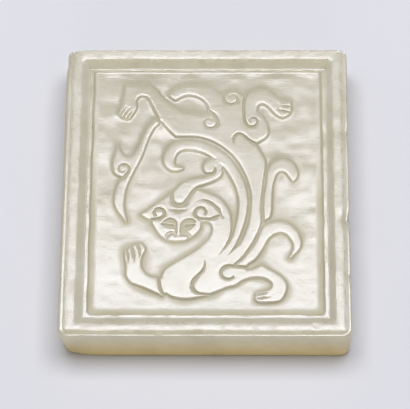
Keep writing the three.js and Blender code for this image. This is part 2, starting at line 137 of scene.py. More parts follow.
def curl(x, y, start_radius, end_radius, start_angle, end_angle, start_half, end_half):
    """A turn or more around a centre, its radius and half-width easing from end to end."""
    steps = math.ceil(abs(end_angle - start_angle) / DEGREES_APART)
    points = []
    for step in range(steps + 1):
        share = step / steps
        angle = math.radians(start_angle + (end_angle - start_angle) * share)
        radius = start_radius + (end_radius - start_radius) * share
        points.append([
            x + radius * math.cos(angle),
            y + radius * math.sin(angle),
            start_half + (end_half - start_half) * share,
        ])
    return points


def outline(*runs):
    """Smooth runs that meet in corners, closed."""
    return np.vstack([smooth(run)[:-1, :2] for run in runs])


def leftward(path):
    """The square-on direction to the left of a path at each station."""
    along = np.gradient(path[:, :2], axis=0)
    along /= np.linalg.norm(along, axis=1)[:, None]
    return np.stack([-along[:, 1], along[:, 0]], axis=1)


def stroke_outline(points):
    """Both edges of a tapering stroke, without what folds over inside a tight bend."""
    path = smooth(points)
    left = leftward(path)
    edges = []
    for side in (-1, 1):
        edge = path[:, :2] + side * left * path[:, 2:]
        reach = np.linalg.norm(edge[:, None] - path[None, :, :2], axis=2)
        edges.append(edge[(reach > path[None, :, 2] - FOLD_TOLERANCE).all(axis=1)])
    return np.vstack([edges[0], edges[1][::-1]])


# The dragon, from above: head low on the left, rump and tail above, four clawed legs

def raised_forms():
    face = outline(
        [[-12.65, -5.4], [-10.8, -3.85], [-9.05, -2.45], [-7.7, -1.35], [-6.7, -0.4]],
        [[-6.8, -0.4], [-4.5, 0.8], [-1.4, 0.2]],
        [[-1.4, 0.2], [1.0, -2.5], [2.5, -5.4]],
        [[2.5, -5.4], [0.2, -6.9], [-0.85, -6.9]],
        [[-0.85, -6.9], [-1.05, -8.45], [-2.1, -9.85], [-3.15, -10.6]],
        [[-3.15, -10.6], [-3.75, -11], [-5.45, -11.2], [-7.05, -11.1], [-7.8, -10.8]],
        [[-7.8, -10.8], [-8.6, -10.15], [-9.5, -8.95], [-10.4, -7.3]],
        [[-10.4, -7.3], [-10.5, -6.8]],
        [[-10.5, -6.8], [-11.45, -6.25], [-12.65, -5.4]],
    )
    crest = stroke_outline([
        [-5, -2.3, 0.55], [-4.95, -1.2, 1.1], [-4.3, 0.2, 1.3], [-2.8, 1.3, 1.05], [-0.9, 1.95, 0.85],
        [1, 2.65, 0.8], [2.3, 3.5, 0.75], [2.6, 4.6, 0.68],
    ])
    crest_curl = outline([[x, y] for x, y, _ in curl(1.35, 5.1, 1.85, 1.85, 0, 360, 0, 0)])
    torso = outline(
        [[-1.4, 0.2], [2.2, -1.4], [3.6, -2.8], [4.6, -4.7], [4.95, -6.8], [4.95, -9.5]],
        [[4.95, -9.5], [8, -14]],
        [[8, -14], [8, -17], [7, -19.6]],
        [[7, -19.6], [4, -21.1], [1, -22.4], [-1.2, -23.1], [-4, -23.45], [-6.6, -22.8], [-8, -21.5],
         [-8.45, -19.8], [-8.2, -18.2], [-7.2, -16.7], [-5.4, -15.4], [-3, -13.9], [-0.8, -12.1],
         [0.85, -10.2], [1.35, -8.6], [1, -7.4], [0.2, -6.9]],
        [[0.2, -6.9], [-2, -5]],
    )
    rump = outline(
        [[-6, 12], [-2, 11.95], [0.1, 11.45], [2.2, 10.4], [4.2, 8.85], [6, 6.75], [7.4, 4.2], [8.4, 1.5],
         [8.9, -1.2], [8.6, -6], [7.9, -8.8], [6.9, -11.3], [4.6, -14.6]],
        [[4.6, -14.6], [5.6, -16.4]],
        [[5.6, -16.4], [7.6, -14], [9.2, -11.2], [10.75, -7], [10.65, -4], [11.2, 2], [11.65, 6.4],
         [11, 8], [9.85, 10.2]],
        [[9.85, 10.2], [8, 14], [3.5, 21]],
        [[3.5, 21], [0.5, 18.2], [0.45, 17.2]],
        [[0.45, 17.2], [-1.2, 16.95], [-3.4, 17.2], [-5.5, 18], [-7.2, 19.2], [-8.8, 20.8], [-11.4, 23.7]],
        [[-11.4, 23.7], [-11.3, 20.2]],
        [[-11.3, 20.2], [-10.3, 18.2], [-9.1, 15.7], [-7.5, 13.6], [-6, 12]],
    )
    mane = stroke_outline([
        [-4.5, 4.75, 0.12], [-5.5, 4.7, 0.5], [-6.7, 5.1, 0.8], [-7.25, 6.4, 1.08], [-7.05, 7.9, 1.12],
        [-5.9, 9.5, 1.15], [-3.9, 10.1, 1.15], [-1.8, 9.9, 1.15], [0.5, 9, 1.12], [2.8, 7.4, 1.1],
        [4.6, 5.3, 1.08], [6, 2.8, 1.03], [6.95, 0.3, 0.96], [7.3, -2.5, 0.88], [7.15, -5, 0.83],
        [6.6, -7.7, 0.78], [5.9, -10, 0.68], [5, -12.2, 0.6],
    ])
    upper_flame = stroke_outline([
        [11.8, -6.9, 0.3], [12, -5, 0.7], [12.2, -0.5, 0.75], [12.5, 2, 0.8], [13.1, 4.2, 1.05],
        [14.4, 5.5, 1.4], [15.8, 5.3, 1.45], [16.9, 4.1, 1.1], [17.2, 2.9, 0.7], [17, 1.9, 0.2],
    ])
    lower_flame = stroke_outline([
        [6.8, -16.2, 0.35], [8.6, -14.6, 1], [10.1, -12.3, 1.1], [11.2, -10, 1.2], [12.7, -8.5, 1.35],
        [14.6, -8.05, 1.3], [16.4, -8.9, 1.1], [17.5, -10.7, 0.9], [17.65, -12.4, 0.68], [16.3, -14.8, 0.1],
    ])
    tail = stroke_outline([
        [-9, 15.9, 0.6], [-10.6, 14.5, 0.65], [-11.7, 12.4, 0.6], [-12.5, 10, 0.6], [-13.4, 7.8, 0.8],
        [-15.4, 3.1, 0.75], [-16.4, 0.9, 0.95], [-16.85, -1.3, 1], [-16.8, -3.4, 0.9], [-15.4, -7, 0.1],
    ])
    spur = outline(
        [[-13.2, 8.6], [-14.4, 7.7], [-15.4, 7.35], [-16.3, 7.9], [-17.35, 9.7]],
        [[-17.35, 9.7], [-18.25, 6.8], [-18.3, 5], [-17.9, 3.7], [-15.8, 2.9], [-14.5, 5]],
        [[-14.5, 5], [-13.2, 8.6]],
    )
    left_foreleg = outline(
        [[-8.6, -18.95], [-9.3, -18.9], [-10.5, -18.7], [-11.5, -18], [-12.2, -16.95], [-12.4, -15.55],
         [-12.1, -14.2], [-11.65, -13.25], [-11.65, -12.5]],
        [[-11.65, -12.5], [-12.5, -11.6], [-13.7, -11.85], [-14.65, -12.5], [-15.6, -13.3]],
        [[-15.6, -13.3], [-15.55, -14.8], [-15.2, -16.65], [-15.2, -18.45], [-14.75, -19.4], [-14.05, -20.15],
         [-12, -20.95], [-8.2, -22.8]],
        [[-8.2, -22.8], [-6.5, -21], [-8.6, -18.95]],
    )
    right_foreleg = outline(
        [[5.6, -16.9], [8.55, -17.2], [9.8, -16.8], [10.9, -16.2]],
        [[10.9, -16.2], [12.75, -17.4], [14.5, -18.55], [15.55, -20.1], [15.55, -21.65], [15.05, -23],
         [14.6, -23.75]],
        [[14.6, -23.75], [13.6, -24.1], [10.3, -24.2], [9.7, -23.75], [9.75, -22.4]],
        [[9.75, -22.4], [10.3, -22.05], [11.5, -21.75], [12.4, -21.35], [12.85, -20.7], [12.8, -20.1],
         [11.85, -19.25], [10.3, -18.9], [8.4, -19.1], [6.8, -19.8], [5.95, -20.5], [4.2, -21]],
        [[4.2, -21], [3.6, -19.2], [5.6, -16.9]],
    )
    left_hind_leg = outline(
        [[-11.2, 20], [-11.9, 20.95], [-12.75, 21.2], [-13.6, 20.85], [-14, 20], [-13.95, 18.4], [-15.2, 16]],
        [[-15.2, 16], [-16.4, 16.1], [-17.45, 17]],
        [[-17.45, 17], [-16.6, 20.2], [-16.2, 23.7]],
        [[-16.2, 23.7], [-11.4, 23.7]],
        [[-11.4, 23.7], [-9.5, 21.5], [-11.2, 20]],
    )
    hind_band = outline(
        [[0.45, 17.2], [0.5, 18.2], [0.1, 19.3], [-0.7, 20.3], [-1.8, 21], [-3.2, 21.35], [-4.6, 21.15],
         [-6.15, 20.2]],
        [[-6.15, 20.2], [-6.8, 20.6], [-7.4, 21.3]],
        [[-7.4, 21.3], [-6.2, 22.6], [-4.3, 23.4], [-2, 23.6], [0.3, 23.2], [3.3, 21.3]],
        [[3.3, 21.3], [5.5, 22.05], [7.7, 20.9]],
        [[7.7, 20.9], [8, 17], [4, 15], [0.45, 17.2]],
    )
    right_hind_leg = outline(
        [[7.7, 20.9], [8.6, 22], [9.8, 22.6], [11.2, 22.8], [12.4, 22.35], [14.5, 20.5], [16.8, 19.9]],
        [[16.8, 19.9], [16.75, 17.7], [16, 16.6], [14.9, 16.25], [13.9, 16.85], [12, 18.95], [11.1, 19.4],
         [10.3, 19.1], [9.95, 17.6]],
        [[9.95, 17.6], [11.2, 16.4], [12, 14.7], [12.25, 13], [11.9, 11.9], [9.85, 10.4]],
        [[9.85, 10.4], [6, 12], [7.7, 20.9]],
    )
    return [
        face, crest, crest_curl, torso, rump, mane, upper_flame, lower_flame, tail, spur,
        left_foreleg, right_foreleg, left_hind_leg, hind_band, right_hind_leg,
    ]


# Long grooves that part the body from the mane, the neck and the flames
PARTING_GROOVES = [
    [[-6.6, 11.2, 0.3], [-4.5, 11.65, 0.36], [-2, 11.52, 0.38], [0.2, 10.95, 0.38], [2.3, 9.75, 0.38],
     [4.2, 8.1, 0.38], [5.9, 6, 0.38], [7.2, 3.5, 0.38], [8.1, 0.8, 0.38], [8.5, -2, 0.36],
     [8.4, -4.8, 0.34], [7.9, -7.4, 0.32], [7.1, -9.9, 0.3], [6.1, -12, 0.28], [4.7, -13.9, 0.08]],
    [[5.25, -8.3, 0.3], [4.95, -10.2, 0.28], [4.2, -11.9, 0.25], [2.8, -13.95, 0.06]],
    [[12, 7, 0.3], [11.65, 2.5, 0.33], [11, -3, 0.33], [11.05, -7.2, 0.3]],
    [[-10.1, 16.9, 0.2], [-9.5, 15.6, 0.32], [-8.8, 14.5, 0.3], [-8.3, 13.9, 0.15]],
    [[13.4, -6.1, 0.35], [12.3, -6.5, 0.35], [11.2, -7.5, 0.33], [9.6, -11, 0.33], [7.3, -14.7, 0.3],
     [5.8, -16.2, 0.3]],
]

# Grooves on the forelegs and chest
CHEST_GROOVES = [
    [*curl(4.45, -17.95, 1.45, 1.4, -45, -260, 0.26, 0.34), [5.6, -16.6, 0.32], [8, -16.75, 0.32],
     [9.4, -16.2, 0.35], [10.6, -15.8, 0.35]],
    [[-0.1, -15.3, 0.06], [-0.05, -16.4, 0.18], [-0.5, -17.5, 0.24], [-2.2, -19.5, 0.3],
     [-2.45, -20.6, 0.31], [-2.1, -21.7, 0.31], [-1.2, -22.4, 0.31], [1.4, -22.6, 0.22]],
    [[-8.8, -18.2, 0.35], [-8.9, -19.6, 0.33], [-8.2, -22.3, 0.33], [-7.4, -23.2, 0.3]],
]

# Grooves of the head: around the crest, in its curl, across the brow, in both ears and the cheeks
HEAD_GROOVES = [
    [[-6.65, 0.2, 0.35], [-6.6, -1.2, 0.38], [-6.45, -2.4, 0.42], [-5.9, -3.2, 0.5], [-5.05, -3.4, 0.58],
     [-4.25, -3.1, 0.48], [-3.6, -2.2, 0.4], [-2.3, -0.1, 0.38], [-1.2, 0.65, 0.36], [0.2, 1.05, 0.3]],
    [[-0.5, 3.6, 0.3], [1.3, 3.65, 0.3], [1.8, 4.3, 0.28], [1.75, 5.1, 0.1]],
    [[-7, -4.3, 0.06], [-6.2, -4.58, 0.15], [-5.3, -4.72, 0.18], [-4.4, -4.6, 0.15], [-3.5, -4.25, 0.06]],
    [[-10.6, -6.55, 0.28], [-9.7, -6.4, 0.3], *curl(-9.1, -5.1, 1.18, 0.86, -77, 223, 0.33, 0.27)],
    [[3.1, -5.6, 0.15], [2.1, -5.85, 0.28], [1.1, -6.4, 0.33],
     *curl(-0.85, -5, 1.42, 0.9, -80, -375, 0.34, 0.24)],
    [[-1.4, -2.45, 0.06], [-0.3, -2.35, 0.22], [0.7, -2.7, 0.28], [1.7, -3.5, 0.3], [2.5, -4.5, 0.3],
     [3.2, -5.9, 0.1]],
    [[-5.75, -9.95, 0.12], [-6.2, -9.85, 0.16], [-6.85, -9.88, 0.16], [-7.28, -10.25, 0.16],
     [-7.35, -10.8, 0.15], [-7.1, -11.2, 0.12]],
    [[-5.05, -9.95, 0.12], [-4.4, -9.8, 0.16], [-3.7, -9.92, 0.16], [-3.3, -10.3, 0.16],
     [-3.35, -10.85, 0.15], [-3.65, -11.15, 0.12]],
    [[-7.85, -10.45, 0.07], [-7.6, -9.75, 0.11], [-6.85, -9.35, 0.12], [-6.2, -9.45, 0.11],
     [-5.75, -9.75, 0.07]],
    [[-2.9, -10.3, 0.07], [-3, -9.85, 0.11], [-3.55, -9.42, 0.12], [-4.3, -9.4, 0.11], [-4.85, -9.7, 0.07]],
]

# Scrolls on the hips and the tail, and the fold of the haunch
SCROLL_GROOVES = [
    [[0.5, 17.7, 0.25], [1.3, 17.1, 0.28], *curl(0.6, 15.1, 1.75, 0.6, 40, -320, 0.3, 0.13)],
    [[3.2, 21.5, 0.2], *curl(5.1, 20.6, 1.65, 0.6, 180, 520, 0.25, 0.13)],
    [[7.8, 21.3, 0.3], [7.45, 20, 0.3], [7.5, 16.2, 0.28],
     *curl(9.1, 15.35, 1.4, 0.5, 200, 560, 0.3, 0.13)],
    [[5.4, 10.6, 0.1], [5.5, 11.7, 0.3], [5.9, 12.3, 0.32], [6.7, 12.5, 0.28], [8.6, 11, 0.3],
     [9.9, 10.2, 0.35]],
    [*curl(-16.3, 4.6, 0.55, 1.3, 330, -45, 0.13, 0.3), [-16.2, 2.7, 0.3], [-17.3, 2.2, 0.3]],
]

# Fine cuts between the toes
TOE_GROOVES = [
    [[-15.3, -12.75, 0.15], [-15.05, -13.9, 0.18], [-14.85, -15.2, 0.15], [-14.85, -16, 0.06]],
    [[-14.4, -11.95, 0.16], [-14, -13.3, 0.19], [-13.75, -14.9, 0.15], [-13.7, -15.7, 0.06]],
    [[-13.2, -11.5, 0.16], [-12.75, -12.7, 0.18], [-12.6, -13.9, 0.15], [-12.65, -14.6, 0.06]],
    [[10.1, -22.68, 0.16], [11.2, -22.42, 0.17], [12.05, -22.2, 0.05]],
    [[10.1, -23.52, 0.16], [11.4, -23.35, 0.18], [12.5, -23.15, 0.05]],
    [[-17.2, 16.5, 0.2], [-16.7, 17.5, 0.2], [-16, 18.7, 0.06]],
    [[-16.55, 16.1, 0.2], [-16.05, 17.1, 0.2], [-15.35, 18.4, 0.06]],
    [[-15.8, 15.85, 0.2], [-15.35, 16.7, 0.2], [-14.7, 17.8, 0.06]],
    [[16.9, 18.65, 0.16], [15.6, 18.75, 0.18], [14.6, 19, 0.06]],
    [[16.8, 17.3, 0.2], [15.4, 17.6, 0.22], [13.9, 18.1, 0.06]],
]

# Hollows under the brows, one each side of the nose, and the eyelid left standing in each
EYE_HOLLOWS = [
    outline(
        [[-8.75, -7.4], [-8, -6.7], [-7.2, -6.2], [-6.2, -6.3], [-5.65, -6.9], [-5.5, -8], [-5.5, -9.6]],
        [[-5.5, -9.6], [-5.8, -9.6], [-5.95, -8.6], [-7.15, -8.4], [-8.1, -8.05], [-8.75, -7.4]],
    ),
    outline(
        [[-4.93, -9.55], [-4.93, -8.15], [-4.7, -7.15], [-3.85, -6.45], [-2.75, -6.3], [-1.9, -6.85],
         [-1.85, -7.45]],
        [[-1.85, -7.45], [-2.45, -8.15], [-3.15, -8.8], [-4.35, -9.5], [-4.93, -9.55]],
    ),
]
EYELIDS = [
    [[-8.75, -7.1, EYELID_HALF_WIDTH], [-7.6, -7.3, EYELID_HALF_WIDTH],
     [-6.4, -7.5, EYELID_HALF_WIDTH / 2]],
    [[-3.85, -7.54, EYELID_HALF_WIDTH / 2], [-3, -7.42, EYELID_HALF_WIDTH],
     [-1.95, -7.35, EYELID_HALF_WIDTH]],
]


# Distances and smooth noise
NOISE_WAVES = 14
NOISE_HEIGHT = 0.17
BATCH = 1500


def eased(value, start, end):
    """0 before start, 1 after end and a soft step between."""
    t = np.clip((value - start) / (end - start), 0, 1)
    return t * t * (3 - 2 * t)


def noise(x, y, size, seed):
    """Smooth random hills about size apart, mostly between -1 and 1: waves that run every way."""
    rng = np.random.default_rng(seed)
    total = np.zeros(np.shape(x))
    for wave in range(NOISE_WAVES):
        angle = math.pi * (wave + rng.uniform()) / NOISE_WAVES
        along = np.asarray(x) * math.cos(angle) + np.asarray(y) * math.sin(angle)
        total = total + np.cos(math.pi * rng.uniform(0.6, 1.4) * along / size + rng.uniform(0, 2 * math.pi))
    return NOISE_HEIGHT * total


def nearest(points, starts, ends, values=None):
    """Distance from each point to the nearest segment, and the value there, between its ends' values."""
    along = ends - starts
    square = np.maximum((along ** 2).sum(axis=1), 1e-12)
    distance = np.empty(len(points))
    value = np.empty(len(points))
    for first in range(0, len(points), BATCH):
        here = points[first:first + BATCH, None]
        share = np.clip(((here - starts) * along).sum(axis=2) / square, 0, 1)
        gap = ((here - starts - share[..., None] * along) ** 2).sum(axis=2)
        best = gap.argmin(axis=1)
        rows = np.arange(len(best))
        distance[first:first + BATCH] = np.sqrt(gap[rows, best])
        if values is not None:
            s = share[rows, best]
            value[first:first + BATCH] = values[0][best] * (1 - s) + values[1][best] * s
    return distance, value


def inside(points, loop):
    """Which points lie inside a closed outline."""
    result = np.zeros(len(points), bool)
    near = ((points >= loop.min(axis=0)) & (points <= loop.max(axis=0))).all(axis=1)
    x, y = points[near, 0], points[near, 1]
    count = np.zeros(len(x), int)
    for (x0, y0), (x1, y1) in zip(loop, np.roll(loop, -1, axis=0)):
        if y0 != y1:
            crosses = (y0 > y) != (y1 > y)
            count += crosses & (x < x0 + (y - y0) * (x1 - x0) / (y1 - y0))
    result[near] = count % 2 == 1
    return result


class Area:
    """The union of closed outlines, with signed distances: positive inside."""

    def __init__(self, loops):
        self.loops = loops
        starts, ends = [], []
        for place, loop in enumerate(loops):
            nexts = np.roll(loop, -1, axis=0)
            middle = (loop + nexts) / 2
            shown = np.ones(len(loop), bool)
            for other, cover in enumerate(loops):
                if other != place:
                    shown &= ~inside(middle, cover)
            starts.append(loop[shown])
            ends.append(nexts[shown])
        self.starts = np.vstack(starts)
        self.ends = np.vstack(ends)

    def depth(self, points):
        within = np.zeros(len(points), bool)
        for loop in self.loops:
            within |= inside(points, loop)
        distance, _ = nearest(points, self.starts, self.ends)
        return np.where(within, distance, -distance)


FIGURE = Area(raised_forms())
HOLLOWS = Area(EYE_HOLLOWS)
GROOVES = [smooth(points) for points in
           PARTING_GROOVES + CHEST_GROOVES + HEAD_GROOVES + SCROLL_GROOVES + TOE_GROOVES]
LIDS = [smooth(points) for points in EYELIDS]


# Surface of the field

# Height of the carved edge by distance from the outline, positive on the figure: a small rounded
# shoulder and a steep wall, with a sharp foot or, where the cutter slipped, a long hollow one
EDGE_DISTANCE = [-2.0, -1.4, -1.0, -0.75, -0.56, -0.4, -0.26, -0.17, -0.08, 0, 0.06, 0.14, 0.24, 0.36, 0.5]
SHARP_EDGE = [0, 0, 0, 0, 0, 0.015, 0.08, 0.3, 0.62, 0.83, 0.895, 0.935, 0.965, 0.987, 1]
HOLLOW_EDGE = [0, 0.01, 0.03, 0.07, 0.13, 0.24, 0.43, 0.57, 0.71, 0.83, 0.895, 0.935, 0.965, 0.987, 1]

# Depth of a groove by distance from its middle line, as shares of its half-width and depth
GROOVE_DISTANCE = [0, 0.2, 0.48, 0.77, 0.96, 1.1, 1.28]
GROOVE_SHARE = [1, 0.93, 0.6, 0.25, 0.09, 0.03, 0]
DEEPEST_GROOVE = 0.42
NARROWEST_GROOVE = 0.03
# A groove is cut to just under the ground where no form stands
BELOW_GROUND = 0.05

# How dull the ground is: everywhere, further up as well, and in its duller patches
GROUND_MATT = 0.03
UPPER_GROUND_MATT = 0.03
PATCH_MATT = 0.3

# The hills of the ground and of the tops of the forms: height, how far apart, and seed
GROUND_HILLS = [(0.05, 6.5, 1), (0.022, 3.1, 2), (0.006, 1.3, 3)]
STREAKS = (0.012, 1.1, 8)
POLISHED_HILLS = (0.014, 5.5, 4)


def stroke_depth(points, strokes):
    """Distance from any stroke's middle line as a share of its half-width, and the half-width there."""
    starts = np.vstack([path[:-1] for path in strokes])
    ends = np.vstack([path[1:] for path in strokes])
    distance, half = nearest(points, starts[:, :2], ends[:, :2], (starts[:, 2], ends[:, 2]))
    half = np.maximum(half, NARROWEST_GROOVE)
    return distance / half, half


def ground_hills(points):
    """How the sunken ground rises and falls: least at the bottom, where it was polished best."""
    x, y = points[:, 0], points[:, 1]
    hills = sum(height * noise(x, y, apart, seed) for height, apart, seed in GROUND_HILLS)
    height, apart, seed = STREAKS
    streaks = height * noise(0.45 * x + 0.1 * y, y, apart, seed)
    return hills * (0.3 + 1.1 * eased(y, -17, -5)) + streaks


def neglect(y):
    """How much of the tool's work is left at the foot of the walls: more towards the bottom."""
    return 0.15 + 0.85 * eased(-y, -12, 6)


def field_surface(points):
    """Level of the carved field at each point in millimetres, and how far it is cut or worn by the tool."""
    x, y = points[:, 0], points[:, 1]
    depth = FIGURE.depth(points)
    # the cutter left hollow walls on the upper left of each form towards the top
    slip = np.array([-0.07, 0.07])
    facing = (depth - FIGURE.depth(points + slip)) / np.linalg.norm(slip)
    hollow = eased(y, -10, 12) * eased(facing, -0.2, 0.7)
    edge = np.interp(depth, EDGE_DISTANCE, SHARP_EDGE) * (1 - hollow)
    edge += np.interp(depth, EDGE_DISTANCE, HOLLOW_EDGE) * hollow
    height, apart, seed = POLISHED_HILLS
    polished = height * noise(x, y, apart, seed)
    level = GROUND + ground_hills(points) * (1 - edge) + (RELIEF_HEIGHT + polished) * edge
    # the polish doesn't reach the foot of the walls, and comes and goes on the ground
    reach = 1.5 + 0.9 * noise(x, y, 3.2, 5)
    matt = (1 - eased(-depth / np.maximum(reach, 0.5), 0.1, 1)) * (1 - eased(depth, -0.1, 0)) * neglect(y)
    patches = eased(noise(x, y, 3.6, 6) + 0.5 * noise(x, y, 1.7, 7), 0.0, 1.2)
    patches *= eased(y, -20, -6) * (1 - 0.8 * eased(y, 4, 14))
    ground_matt = GROUND_MATT + UPPER_GROUND_MATT * eased(y, -14, -4) + PATCH_MATT * patches
    matt = np.maximum(matt, ground_matt * (1 - edge))
    # what lies inside a hollow under a brow sinks, but for the eyelid
    sunk = eased(HOLLOWS.depth(points), -0.04, 0.16)
    away, _ = stroke_depth(points, LIDS)
    sunk *= eased(away, 0.8, 1.8)
    level = level - EYE_DEPTH * sunk
    matt = np.maximum(matt, sunk)
    # grooves are cut down from the top of the relief, steep at the sides and rounded below
    away, half = stroke_depth(points, GROOVES)
    share = np.interp(away, GROOVE_DISTANCE, GROOVE_SHARE)
    floor = RELIEF - np.minimum(1.6 * GROOVE_SLOPE * half, DEEPEST_GROOVE) * share
    matt = np.maximum(matt, eased(share, 0.3, 0.7) * eased(level - floor, -0.05, 0.1))
    carved = np.minimum(level, np.maximum(floor, GROUND - BELOW_GROUND))
    return np.where(share > 0, carved, level), matt


# The moulded frame and the walls, as rings that follow the outer edge
CORNER_STEPS = 8

# How dull the frame is: 0 is polished and 1 is as the cutter left it, for left, right, top and bottom
BEVEL_MATT = 0.2
RIDGE_MATT = 0.15
OUTER_SLOPE_MATT = np.array([0.4, 0.4, 0.4, 0.05])
INNER_SLOPE_MATT = np.array([0.7, 0.7, 0.1, 0.7])
DROP_MATT = np.array([1.0, 1.0, 0.45, 1.0])
# How much duller the ridge is where it is worn
RIDGE_WEAR = 0.38
RIDGE_MARGIN = 0.3

# Profiles, as shares of the way across and of the height: what is left to rise on the outer slope,
# what has fallen on the inner slope and in the drop, and what is left to fall in the fillet, with
# how dull the fillet is there
OUTER_SLOPE = [(0.12, 0.92), (0.4, 0.62), (0.7, 0.28), (0.92, 0.05)]
INNER_SLOPE = [(0.06, 0.05), (0.2, 0.2), (0.42, 0.45), (0.62, 0.68), (0.82, 0.9), (0.95, 1.0)]
DROP = [(0.35, 0.4), (0.7, 0.8), (1, 1)]
FILLET = [(0.2, 0.5, 1.0), (0.45, 0.2, 0.85), (0.7, 0.06, 0.5), (1, 0, GROUND_MATT)]
# The wall has one more ring this far under its bevel
UPPER_WALL = 0.5


def rim(insets, radii):
    """Points of a rounded rectangle inside the outer wall, the outward direction there, and how far
    each point counts as left, right, top and bottom. The insets are for those four, and the radii
    for the corners from top right round by the left."""
    left, right, top, bottom = np.array([-HALF_WIDTH, HALF_WIDTH, HALF_LENGTH, -HALF_LENGTH]) + [
        insets[0], -insets[1], -insets[2], insets[3],
    ]
    side_steps = [math.ceil(2 * half / RIM_SPACING) for half in (HALF_LENGTH, HALF_WIDTH)]
    radii = np.broadcast_to(radii, 4)
    inward = np.array([[-1, -1], [1, -1], [1, 1], [-1, 1]])
    corners = np.array([[right, top], [left, top], [left, bottom], [right, bottom]])
    centres = corners + inward * radii[:, None]
    points, outward, parts = [], [], []
    for corner in range(4):
        for step in range(CORNER_STEPS + 1):
            angle = (corner + step / CORNER_STEPS) * math.pi / 2
            direction = np.array([math.cos(angle), math.sin(angle)])
            points.append(centres[corner] + radii[corner] * direction)
            outward.append(direction)
            end_share = direction[1] ** 2
            on_left, on_top = corner in (1, 2), corner in (0, 1)
            parts.append([
                (1 - end_share) * on_left, (1 - end_share) * (not on_left),
                end_share * on_top, end_share * (not on_top),
            ])
        following = (corner + 1) % 4
        start = points[-1]
        end = centres[following] + radii[following] * direction
        steps = side_steps[1 - corner % 2]
        for step in range(1, steps):
            points.append(start + (end - start) * step / steps)
            outward.append(direction)
            parts.append(parts[-1])
    return np.array(points), np.array(outward), np.array(parts, float)


def section():
    """The section through the frame, from the wall in: insets, depths under the crest, corner radii
    and how matt it is."""
    arris_end = WALL_BEVEL_WIDTH + ARRIS_WIDTH
    ridge_end = RIDGE_START + RIDGE_WIDTH
    bevel_rise = WALL_BEVEL_DEPTH - ARRIS_DEPTH
    outer = CORNER_RADIUS
    knots = [
        (0 * arris_end, WALL_BEVEL_DEPTH + UPPER_WALL, outer, 0.0),
        (0 * arris_end, WALL_BEVEL_DEPTH, outer, BEVEL_MATT),
        (0.4 * WALL_BEVEL_WIDTH, WALL_BEVEL_DEPTH - 0.5 * bevel_rise, outer, BEVEL_MATT),
        (0.85 * WALL_BEVEL_WIDTH, WALL_BEVEL_DEPTH - 0.92 * bevel_rise, outer, BEVEL_MATT / 2),
        (WALL_BEVEL_WIDTH + 0.06 * ARRIS_WIDTH, ARRIS_DEPTH, outer, 0.0),
        (WALL_BEVEL_WIDTH + 0.35 * ARRIS_WIDTH, ARRIS_DEPTH - 0.02, outer, 0.0),
        (WALL_BEVEL_WIDTH + 0.85 * ARRIS_WIDTH, ARRIS_DEPTH - 0.02, outer, 0.0),
    ]
    # a slightly hollow slope up to the ridge
    for share, fall in OUTER_SLOPE:
        depth = RIDGE_DEPTH[0] + fall * (ARRIS_DEPTH - RIDGE_DEPTH[0])
        radii = outer + share * (RIDGE_CORNER_RADIUS - outer)
        knots.append((arris_end + share * OUTER_SLOPE_WIDTH, depth, radii, OUTER_SLOPE_MATT))
    for share, depth in zip(RIDGE_SHARE, RIDGE_DEPTH):
        knots.append((RIDGE_START + share * RIDGE_WIDTH, depth, RIDGE_CORNER_RADIUS, RIDGE_MATT))
    # the inner slope, hollowing out towards the lip
    fall = LIP_DEPTH - RIDGE_DEPTH[-1]
    for share, part in INNER_SLOPE:
        inset = ridge_end + share * INNER_SLOPE_WIDTH
        radius = RIDGE_CORNER_RADIUS + share * (LIP_CORNER_RADIUS - RIDGE_CORNER_RADIUS)
        knots.append((inset, RIDGE_DEPTH[-1] + part * fall, radius, INNER_SLOPE_MATT))
    # the flat lip with its crisp edges, square outside and rounded inside
    for inset, rise, radius in (
        (LIP_START, 0, LIP_CORNER_RADIUS), (LIP_START + 0.05, 0.04, LIP_CORNER_RADIUS),
        (LIP_START + 0.14, 0.045, LIP_CORNER_RADIUS), (LIP_END - 0.14, 0.045, FIELD_CORNER_RADIUS),
        (LIP_END - 0.05, 0.035, FIELD_CORNER_RADIUS), (LIP_END, 0, FIELD_CORNER_RADIUS),
    ):
        knots.append((inset, LIP_DEPTH - rise, radius, 0.0))
    # the drop and the foot
    drop_height = GROUND_DEPTH - FILLET_HEIGHT - LIP_DEPTH
    for share, part in DROP:
        depth = LIP_DEPTH + part * drop_height
        knots.append((LIP_END + share * LIP_DROP_WIDTH, depth, FIELD_CORNER_RADIUS, DROP_MATT))
    for share, part, dull in FILLET:
        inset = LIP_END + LIP_DROP_WIDTH + share * FILLET_WIDTH
        knots.append((inset, GROUND_DEPTH - part * FILLET_HEIGHT, FIELD_CORNER_RADIUS, dull * DROP_MATT))
    return [(inset, np.broadcast_to(depth, 4), radii, np.broadcast_to(dull, 4))
            for inset, depth, radii, dull in knots]


# Levels of the rings down the wall, then the eased back edge as inset and level, then the back
WALL_LEVELS = [7.4, 6.2, 4.9, 3.6, 2.4, 1.3]
BACK_EDGE = [(0.0, 0.75), (0.05, 0.45), (0.16, 0.2), (0.32, 0.06), (0.55, 0.0)]
BACK_INSETS = [12.0, 6.0, 2.5, 1.2]

# The frame's unevenness sideways and up and down: height, how far apart, how much it changes
# from ring to ring, and seed
SWAY = [(0.06, 5.0, 0, 11), (0.035, 2.2, 9, 12)]
BOB = [(0.025, 3.0, 0, 13), (0.012, 1.4, 9, 14)]


